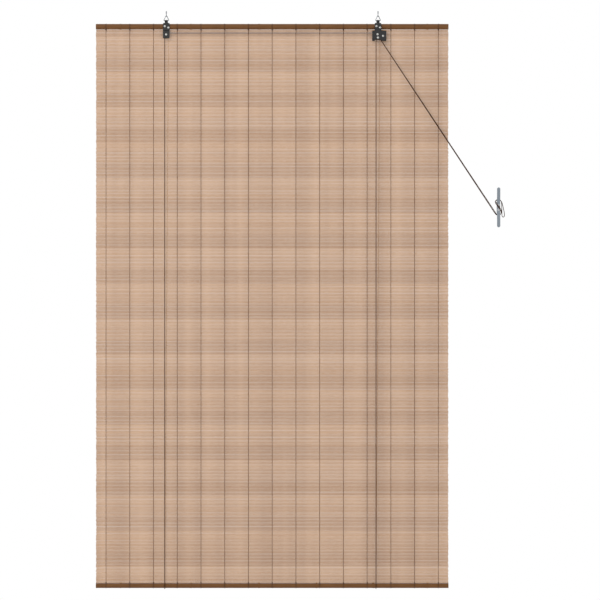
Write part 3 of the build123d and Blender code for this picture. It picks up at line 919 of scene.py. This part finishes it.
@dataclass
class Hardware:
    """Everything made of metal or nylon: hooks, rings, brackets, lock, sheaves, cleat and screws.

    Attributes:
        wire_edge_mm: How far the ends of bent wire are rounded.
        plate_edge_mm: How far pressed sheet is rounded at its edges.
        pin_edge_mm: How far rivets, pins and wheels are rounded.
        casting_edge_mm: How far the cleat is rounded, which comes from its mould.
        screw_edge_mm: How far the cleat's screws are rounded.
        hook_shank_y: The depth of the hooks' shanks.
        hook_thread_z: Where their threads start, going up.
        screw_thread_y: Where the cleat screws' threads start, going into the wall.
    """

    wire_edge_mm: float = 0.1
    plate_edge_mm: float = 0.18
    pin_edge_mm: float = 0.12
    casting_edge_mm: float = 0.9
    screw_edge_mm: float = 0.08
    hook_shank_y: float = -1.2 * MM
    hook_thread_z: float = 0.5 * MM
    screw_thread_y: float = 15.4 * MM

    def side_parts(self, side: Side) -> list[HardPart]:
        """One side's hook, ring, bracket and rivets.

        Args:
            side: Which side.

        Returns:
            Its parts.
        """
        wires = [
            HardPart(f"{side.value}_{part}", "zinc_wire", ZINC_WIRE, self.wire_edge_mm)
            for part in ("screw_hook", "hang_ring")
        ]
        plates = [self.plate(f"{side.value}_{part}") for part in ("bracket_back", "bracket_front")]
        return wires + plates + [self.pin(f"{side.value}_rail_rivets")]

    def plate(self, node: str) -> HardPart:
        """A part of pressed sheet."""
        return HardPart(node, "black_steel", BLACK_STEEL, self.plate_edge_mm)

    def pin(self, node: str) -> HardPart:
        """Rivets, or a pin that something turns on."""
        return HardPart(node, "rivet_steel", RIVET_STEEL, self.pin_edge_mm)

    def wheels(self) -> list[HardPart]:
        """The sheaves, the roller and the cam, each on a body of its own.

        Returns:
            The parts.
        """
        sheaves = (Body.LEFT_SHEAVE, Body.RIGHT_REAR_SHEAVE, Body.RIGHT_FRONT_SHEAVE)
        parts = [HardPart(body.value, "sheave_nylon", NYLON, self.pin_edge_mm, body) for body in sheaves]
        for body in (Body.GUIDE_ROLLER, Body.LOCK_CAM):
            parts.append(HardPart(body.value, "roller_steel", SINTERED_STEEL, self.pin_edge_mm, body))
        return parts

    def cleat(self) -> list[HardPart]:
        """The cleat and its two screws.

        Returns:
            The parts.
        """
        parts = [HardPart("cleat", "grey_zinc", GREY_ZINC, self.casting_edge_mm)]
        for screw in ("cleat_screw_upper", "cleat_screw_lower"):
            parts.append(HardPart(screw, "screw_steel", SCREW_STEEL, self.screw_edge_mm))
        return parts

    def build(self) -> None:
        """Makes every part, and the threads on the hooks and the screws."""
        parts = self.side_parts(Side.LEFT) + self.side_parts(Side.RIGHT) + [self.plate("lock_housing")]
        pins = ("left_sheave_axle", "right_sheave_axle", "guide_roller_pin", "lock_cam_pin")
        parts += [self.pin(name) for name in pins]
        for part in parts + self.wheels() + self.cleat():
            part.build()
        tree = screw_ridge_tree()
        for side in Side:
            low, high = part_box(f"{side.value}_screw_hook")
            seat = Matrix.Translation(((low[0] + high[0]) / 2, self.hook_shank_y, self.hook_thread_z))
            name = f"{side.value}_hook_thread_ridge"
            ScrewRidge(name, "zinc_wire", ZINC_WIRE, **HOOK_THREAD, seat=seat).build(tree)
        into_wall = Matrix.Rotation(math.radians(-90), 4, "X")
        for level in ("upper", "lower"):
            low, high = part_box(f"cleat_screw_{level}")
            start = ((low[0] + high[0]) / 2, self.screw_thread_y, (low[2] + high[2]) / 2)
            seat = Matrix.Translation(start) @ into_wall
            name = f"cleat_screw_{level}_ridge"
            ScrewRidge(name, "screw_steel", SCREW_STEEL, **SCREW_THREAD, seat=seat).build(tree)


@dataclass
class Rails:
    """The dark half round rails at the head and the foot.

    Attributes:
        edge_mm: How far their edges are rounded.
    """

    edge_mm: float = 0.35

    def build(self) -> None:
        """Makes both rails."""
        for rail, body in (("top_rail", Body.ROOT), ("bottom_rail", Body.BOTTOM_BAR)):
            HardPart(rail, "dark_bamboo", DARK_BAMBOO, self.edge_mm, body).build()


@dataclass
class Mat:
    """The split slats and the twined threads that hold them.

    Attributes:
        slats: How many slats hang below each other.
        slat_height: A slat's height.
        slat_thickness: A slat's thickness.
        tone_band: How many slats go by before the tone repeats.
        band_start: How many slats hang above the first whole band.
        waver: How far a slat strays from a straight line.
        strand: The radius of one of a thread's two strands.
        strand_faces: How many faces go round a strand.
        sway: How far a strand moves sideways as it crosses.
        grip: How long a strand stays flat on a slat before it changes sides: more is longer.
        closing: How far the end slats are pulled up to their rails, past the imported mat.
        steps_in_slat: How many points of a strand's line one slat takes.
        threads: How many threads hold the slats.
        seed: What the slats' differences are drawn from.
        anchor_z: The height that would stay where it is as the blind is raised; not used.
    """

    slats: int = 392
    slat_height: float = 3.6 * MM
    slat_thickness: float = 1.5 * MM
    tone_band: int = 25
    band_start: float = 4.3
    waver: float = 0.3 * MM
    strand: float = 0.5 * MM
    strand_faces: int = 5
    sway: float = 0.42 * MM
    grip: float = 1.8
    closing: float = 0.5 * MM
    steps_in_slat: int = 3
    threads: int = 15
    seed: int = 7
    anchor_z: float = -44 * MM

    def build(self) -> None:
        """Makes the slats and then each thread."""
        low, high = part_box("slats")
        pitch = (high[2] - low[2] + 2 * self.closing - self.slat_height) / (self.slats - 1)
        top_slat_z = high[2] + self.closing - self.slat_height / 2
        middle = Vector(((low[0] + high[0]) / 2, (low[1] + high[1]) / 2, top_slat_z))
        values = {
            "Count": self.slats,
            "Slats in a tone band": self.tone_band,
            "First band's start": self.band_start,
            "Pitch": pitch,
            "Width": high[0] - low[0],
            "Height": self.slat_height,
            "Thickness": self.slat_thickness,
            "Start": middle,
            "Waver": self.waver,
            "Seed": self.seed,
            "Material": SPLIT_BAMBOO.build(),
        }
        slats = grow("split_slats", slat_tree(), values)
        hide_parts("slats")
        place(slats, Body.ROOT)
        gather(slats)
        tree = self.thread_tree()
        for number in range(1, self.threads + 1):
            self.build_thread(tree, f"warp_thread_{number:02d}", middle, pitch)

    def build_thread(self, tree: bpy.types.NodeTree, node: str, middle: Vector, pitch: float) -> None:
        """Twines one thread's two strands round the slats.

        Args:
            tree: The tree that twines them.
            node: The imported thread.
            middle: The top slat's middle.
            pitch: The distance from slat to slat.
        """
        low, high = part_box(node)
        values = {
            "Steps": self.slats * self.steps_in_slat + 1,
            "Step": pitch / self.steps_in_slat,
            "Turn": math.pi / self.steps_in_slat,
            "Reach": self.slat_thickness / 2 + self.strand,
            "Sway": self.sway,
            "Strand": self.strand,
            "Start": Vector(((low[0] + high[0]) / 2, middle.y, middle.z + pitch / 2)),
            "Material": THREAD.build(),
        }
        piece = grow(node + "_twined", tree, values)
        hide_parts(node)
        place(piece, Body.ROOT)
        gather(piece)

    def thread_tree(self) -> bpy.types.NodeTree:
        """A tree that twines two strands, which change sides between every two slats.

        Returns:
            The tree.
        """
        floats = ("Step", "Turn", "Reach", "Sway", "Strand")
        tree, given = new_tree("twined_strands", Float=floats, Int=("Steps",), Vector=("Start",))
        size = given.outputs
        down = add_node(tree, "ShaderNodeMath", {0: size["Step"], 1: -1.0}, operation="MULTIPLY")
        step = add_node(tree, "ShaderNodeCombineXYZ", {"Z": down})
        line = add_node(
            tree,
            "GeometryNodeMeshLine",
            {"Count": size["Steps"], "Start Location": size["Start"], "Offset": step},
            mode="OFFSET",
        )
        curve = add_node(tree, "GeometryNodeMeshToCurve", {"Mesh": line})
        number = add_node(tree, "GeometryNodeInputIndex")
        turned = add_node(tree, "ShaderNodeMath", {0: number, 1: size["Turn"]}, operation="MULTIPLY")
        angle = add_node(tree, "ShaderNodeMath", {0: turned, 1: -math.pi / 2}, operation="ADD")
        sine = add_node(tree, "ShaderNodeMath", {0: angle}, operation="SINE")
        cosine = add_node(tree, "ShaderNodeMath", {0: angle}, operation="COSINE")
        steep = add_node(tree, "ShaderNodeMath", {0: cosine, 1: self.grip}, operation="MULTIPLY")
        held = add_node(tree, "ShaderNodeClamp", {"Value": steep, "Min": -1.0, "Max": 1.0})
        across = add_node(tree, "ShaderNodeMath", {0: sine, 1: size["Sway"]}, operation="MULTIPLY")
        depth = add_node(tree, "ShaderNodeMath", {0: held, 1: size["Reach"]}, operation="MULTIPLY")
        shift = add_node(tree, "ShaderNodeCombineXYZ", {"X": across, "Y": depth})
        section = add_node(
            tree,
            "GeometryNodeCurvePrimitiveCircle",
            {"Resolution": self.strand_faces, "Radius": size["Strand"]},
            mode="RADIUS",
        )
        both = tree.nodes.new("GeometryNodeJoinGeometry")
        for half_turn in (1.0, -1.0):
            sided = add_node(
                tree, "ShaderNodeVectorMath", {0: shift, "Scale": half_turn}, operation="SCALE"
            )
            wound = add_node(tree, "GeometryNodeSetPosition", {"Geometry": curve, "Offset": sided})
            strand = add_node(
                tree,
                "GeometryNodeCurveToMesh",
                {"Curve": wound, "Profile Curve": section, "Fill Caps": True},
            )
            tree.links.new(strand.outputs[0], both.inputs[0])
        close_tree(tree, both, size["Material"], smooth=True)
        return tree


@dataclass
class Lashings:
    """The turns of thread round a rail, and the knot under each, at every warp thread.

    Attributes:
        node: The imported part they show.
        rail: The rail they go round.
        body: The body they ride on.
        knot_z: The height of the knots' middles.
        knot_y: Their depth.
        knot_size: A third of a knot's radius.
        knot_points: How many points a knot's line has.
        count: How many lashings there are.
        first_x: Where the first one is. The last one is as far from the middle.
        thread: The thread's radius.
        tail_mm: The cut tail's line, from the knot's middle.
        tail_share: How thick the tail is beside the thread.
        faces_round: How many faces go round the thread.
        clearance: How far the thread's middle stands off the rail, past its own radius.
        rail_ridge: How far the rail's joints stand proud of it.
        side_flat: How much of the rail's depth is flat at its top and foot.
        corner: How far the thread rounds the rail's back corners.
        arc_steps: How many steps the thread takes over the rail's round front.
    """

    node: str
    rail: str
    body: Body
    knot_z: float
    knot_y: float = 3.9 * MM
    knot_size: float = 0.5 * MM
    knot_points: int = 24
    count: int = 15
    first_x: float = -471.2 * MM
    thread: float = 0.45 * MM
    tail_mm: tuple = ((0.9, -0.3, 0.0), (1.3, -0.6, -2.1), (1.0, -0.3, -4.2))
    tail_share: float = 0.8
    faces_round: int = 5
    clearance: float = 0.1 * MM
    rail_ridge: float = 0.5 * MM
    side_flat: float = 1.5 * MM
    corner: float = 0.4 * MM
    arc_steps: int = 12

    def outline(self) -> list[Vector]:
        """The closed line of one turn round the rail, at x = 0.

        Returns:
            The line's points, in metres.
        """
        low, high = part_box(self.rail)
        proud = self.thread + self.clearance
        foot, top = low[2] + self.rail_ridge, high[2] - self.rail_ridge
        front, back = low[1] + self.rail_ridge, high[1] - self.rail_ridge
        middle, half = (foot + top) / 2, (top - foot) / 2
        depth = back - self.side_flat - front
        radius = (half * half + depth * depth) / (2 * depth)
        reach = math.asin(half / radius)
        line = []
        for i in range(self.arc_steps + 1):
            a = reach * (2 * i / self.arc_steps - 1)
            y = front + radius - (radius + proud) * math.cos(a)
            line.append((y, middle + (radius + proud) * math.sin(a)))
        line += [
            (back - self.corner, top + proud),
            (back + proud, top - self.corner),
            (back + proud, middle),
            (back + proud, foot + self.corner),
            (back - self.corner, foot - proud),
        ]
        return [Vector((0, y, z)) for y, z in line]

    def unit(self) -> bpy.types.Object:
        """Makes one lashing at x = 0: two turns, a knot and its cut tail.

        Returns:
            The lashing, which is copied along the rail.
        """
        shape = bmesh.new()
        for side in (-1, 1):
            turn = [point + Vector((side * self.thread, 0, 0)) for point in self.outline()]
            add_tube(shape, turn, self.thread, self.faces_round, closed=True)
        knot_at = Vector((0, self.knot_y, self.knot_z))
        knot = trefoil(knot_at, self.knot_size, self.knot_points)
        add_tube(shape, knot, self.thread, self.faces_round, closed=True)
        tail = [knot_at + Vector(point) * MM for point in self.tail_mm]
        add_tube(shape, tail, self.thread * self.tail_share, self.faces_round)
        return mesh_object(self.node + "_unit", mesh_from_bmesh(self.node + "_unit", shape))

    def build(self, tree: bpy.types.NodeTree) -> None:
        """Sets a lashing at every warp thread.

        Args:
            tree: The tree that sets copies in a row.
        """
        unit = self.unit()
        pitch = -2 * self.first_x / (self.count - 1)
        values = {
            "Unit": unit,
            "Count": self.count,
            "Start": Vector((self.first_x, 0, 0)),
            "Step": Vector((pitch, 0, 0)),
            "Material": THREAD.build(),
        }
        piece = grow(self.node + "_wound", tree, values)
        bpy.data.objects.remove(unit)
        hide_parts(self.node)
        place(piece, self.body)


@dataclass
class LiftCord:
    """One side of the lift cord: knot, rear run, sling under the bottom rail, front run, pulled run.

    Attributes:
        side: Which side it is.
        tie_x: Where it is tied behind the top rail.
        cord_x: Where it hangs.
        sheave_y: The depth of the sheave it goes over.
        run: The control points of the pulled run.
        run_length: The pulled run's real length, in metres as all the lengths here; not used.
        rear_length: The rear run's real length; not used.
        front_length: The front run's; not used.
        sling_length: The sling's; not used.
        radius: The cord's radius, in metres. The places below are in millimetres, as the runs are.
        rear_y: The depth of the rear run.
        front_y: The depth of the front run at its foot.
        tie_z: The height where the rear run leaves its knot.
        end_z: The height where both runs meet the sling.
        sling_bend_z: The height where the sling starts to bend.
        sling_foot_z: The height of its lowest control points.
        sheave_z: The height where the front run meets the sheave.
        faces_round: How many faces go round the cord.
        turn_points: How many points the turn round the post has.
        knot_y: How far behind that turn the knot sits, in metres.
        knot_drop: How far under the turn it sits, in cord radii.
        knot_size: A third of the knot's radius, in metres.
        knot_points: How many points its line has.
        knot_share: How thick the cord is in it, beside the loose cord.
    """

    side: Side
    tie_x: float
    cord_x: float
    sheave_y: float
    run: list[tuple[float, float, float]]
    run_length: float
    rear_length: float = 1.5687
    front_length: float = 1.5526
    sling_length: float = 0.0434
    radius: float = 1.0 * MM
    rear_y: float = 8.9
    front_y: float = -0.7
    tie_z: float = -43.1
    end_z: float = -1611.8
    sling_bend_z: float = -1624.2
    sling_foot_z: float = -1630.2
    sheave_z: float = -59.25
    faces_round: int = 8
    turn_points: int = 20
    knot_y: float = 0.6 * MM
    knot_drop: float = 1.6
    knot_size: float = 0.75 * MM
    knot_points: int = 30
    knot_share: float = 0.85

    def tube(self, part: str, points: list) -> tuple[bpy.types.Object, list[Vector]]:
        """Makes one stretch of cord.

        Args:
            part: The stretch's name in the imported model, without its side.
            points: The control points of its line, in millimetres.

        Returns:
            The piece and the points it follows.
        """
        node = f"{self.side.value}_{part}"
        route = [Vector(point) * MM for point in points]
        line = nurbs_line(node, route)
        shape = bmesh.new()
        add_tube(shape, line, self.radius, self.faces_round)
        piece = mesh_object(node + "_braided", mesh_from_bmesh(node + "_braided", shape))
        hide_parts(node)
        return piece, line

    def knot(self) -> bpy.types.Object:
        """Makes the turn round the rivet's post and the knot that ends it.

        Returns:
            The piece.
        """
        node = f"{self.side.value}_cord_knot"
        low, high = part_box(node)
        middle = (Vector(low) + Vector(high)) / 2
        turn = (high[0] - low[0]) / 2 - self.radius
        ring = []
        for i in range(self.turn_points):
            a = 2 * math.pi * i / self.turn_points
            ring.append(middle + turn * Vector((math.cos(a), 0, math.sin(a))))
        shape = bmesh.new()
        add_tube(shape, ring, self.radius, self.faces_round, closed=True)
        knot_at = middle + Vector((0, self.knot_y, -turn - self.knot_drop * self.radius))
        knot = trefoil(knot_at, self.knot_size, self.knot_points)
        add_tube(shape, knot, self.knot_share * self.radius, self.faces_round, closed=True)
        piece = mesh_object(node + "_tied", mesh_from_bmesh(node + "_tied", shape))
        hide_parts(node)
        return piece

    def build(self) -> None:
        material = CORD.build()
        knot = self.knot()
        place(knot, Body.ROOT, material)

        head, foot = (self.tie_x, self.rear_y, self.tie_z), (self.cord_x, self.rear_y, self.end_z)
        rear, rear_line = self.tube("rear_cord", [head, foot])
        place(rear, Body.ROOT, material)
        gather(rear)

        front_foot = (self.cord_x, self.front_y, self.end_z)
        over = (self.cord_x, self.sheave_y, self.sheave_z)
        front, front_line = self.tube("front_cord", [front_foot, over])
        place(front, Body.ROOT, material)
        gather(front)

        heights = (self.end_z, self.sling_bend_z, self.sling_foot_z)
        down = [(self.cord_x, self.front_y, z) for z in heights]
        up = [(self.cord_x, self.rear_y, z) for z in reversed(heights)]
        sling, sling_line = self.tube("cord_sling", down + up)
        place(sling, Body.BOTTOM_BAR, material)

        run, run_line = self.tube("run_cord", self.run)
        place(run, Body.ROOT, material)


# ------------------------------------------------------------------ studio
@dataclass
class Studio:
    """The white surroundings, the soft light, the pale floor and the camera.

    Attributes:
        middle: The point the camera looks at.
        view_width: How much it sees across at the blind.
        distance: How far in front of the blind it stands.
        sensor_mm: The width of its sensor.
        sees_to: How far it sees.
        floor_z: The height of the floor.
        floor_radius: The floor's radius.
        floor_sides: How many sides the floor has.
        key_at: Where the big soft light hangs.
        key_size: Its size.
        key_power: Its power in watts.
    """

    middle: Vector = field(default_factory=lambda: Vector((78.9 * MM, 0, -811.5 * MM)))
    view_width: float = 1700.8 * MM
    distance: float = 10.0
    sensor_mm: float = 36.0
    sees_to: float = 50.0
    floor_z: float = -1.9
    floor_radius: float = 1.4
    floor_sides: int = 96
    key_at: Vector = field(default_factory=lambda: Vector((-2.2, -3.4, 1.6)))
    key_size: float = 2.4
    key_power: float = 60.0

    def build(self) -> None:
        """Sets up everything round the blind."""
        scene = bpy.context.scene
        scene.view_settings.view_transform = "Standard"
        world = bpy.data.worlds.new("white_room")
        world.use_nodes = True
        background = world.node_tree.nodes["Background"]
        background.inputs["Color"].default_value = (1.0, 1.0, 1.0, 1.0)
        background.inputs["Strength"].default_value = 1.0
        scene.world = world
        self.light()
        self.floor()
        camera = bpy.data.cameras.new("camera")
        camera.sensor_width = self.sensor_mm
        camera.lens = self.sensor_mm * self.distance / self.view_width
        camera.clip_end = self.sees_to
        holder = bpy.data.objects.new("camera", camera)
        holder.location = self.middle - Vector((0, self.distance, 0))
        holder.rotation_euler = (math.radians(90), 0, 0)
        scene.collection.objects.link(holder)
        scene.camera = holder

    def light(self) -> None:
        """Hangs the soft light, which faces the blind's middle."""
        lamp = bpy.data.lights.new("key", "AREA")
        lamp.size = self.key_size
        lamp.energy = self.key_power
        holder = bpy.data.objects.new("key", lamp)
        holder.location = self.key_at
        holder.rotation_euler = (self.middle - self.key_at).to_track_quat("-Z", "Y").to_euler()
        bpy.context.scene.collection.objects.link(holder)

    def floor(self) -> None:
        """Lays a plain pale floor."""
        shape = bmesh.new()
        at = Matrix.Translation((self.middle.x, 0, self.floor_z))
        bmesh.ops.create_circle(
            shape, cap_ends=True, segments=self.floor_sides, radius=self.floor_radius, matrix=at
        )
        floor = mesh_object("floor", mesh_from_bmesh("floor", shape, smooth=False))
        floor.data.materials.append(FLOOR_PAINT.build())


# ------------------------------------------------------------------ the two pulled runs
# From the sheave to the loop under the cleat, as control points in millimetres.
LEFT_RUN = [
    (-304.5, -2.95, -59.2),
    (-304.5, -2.95, -55.0),
    (-296.0, -2.95, -55.0),
    (294.2, -2.95, -55.0),
    (302.96, -2.95, -55.0),
    (302.53, -2.95, -66.8),
    (306.5, -2.9, -72.8),
    (626.0, 2.9, -557.1),
    (630.0, 3.0, -563.2),
    (635.5, 4.4, -570.6),
    (645.6, 4.0, -571.2),
    (649.8, -0.9, -565.0),
    (649.4, -9.0, -555.6),
    (635.8, -9.1, -538.2),
    (632.4, -2.8, -530.6),
    (636.8, 1.6, -526.8),
    (646.2, 1.6, -526.8),
    (650.2, 0.2, -533.8),
    (650.9, 0.8, -547.0),
    (651.4, 1.2, -563.0),
    (651.4, 1.6, -576.4),
    (655.2, 1.6, -576.4),
]
RIGHT_RUN = [
    (294.4, -7.45, -59.2),
    (294.4, -7.45, -55.0),
    (302.96, -7.45, -55.0),
    (302.53, -7.45, -66.8),
    (306.5, -7.4, -72.8),
    (628.8, 0.2, -557.4),
    (632.0, 0.4, -562.2),
    (636.4, 1.8, -569.4),
    (645.2, 1.4, -570.0),
    (649.2, -3.0, -566.6),
    (647.4, -9.2, -557.2),
    (633.8, -9.0, -539.8),
    (631.6, -1.0, -532.6),
    (636.0, 4.2, -528.2),
    (646.6, 4.2, -528.0),
    (651.4, 3.4, -533.8),
    (655.0, 2.6, -549.4),
    (658.6, 2.0, -565.0),
    (658.4, 1.6, -576.4),
    (654.6, 1.6, -576.4),
]


def main() -> None:
    """Builds the blind from its head to its cleat, and then the studio."""
    logging.basicConfig(level=logging.INFO, format="%(message)s")
    Hardware().build()
    Rails().build()
    Mat().build()
    row = row_tree()
    for node, rail, body, knot_z in (
        ("top_lashings", "top_rail", Body.ROOT, -45.2 * MM),
        ("bottom_lashings", "bottom_rail", Body.BOTTOM_BAR, -1613.2 * MM),
    ):
        Lashings(node=node, rail=rail, body=body, knot_z=knot_z).build(row)
    left = LiftCord(
        side=Side.LEFT, tie_x=-294.1, cord_x=-304.5, sheave_y=-2.95, run=LEFT_RUN, run_length=1.3544
    )
    right = LiftCord(
        side=Side.RIGHT, tie_x=305.9, cord_x=294.4, sheave_y=-7.45, run=RIGHT_RUN, run_length=0.7536
    )
    left.build()
    right.build()
    Studio().build()


if __name__ == "__main__":
    main()
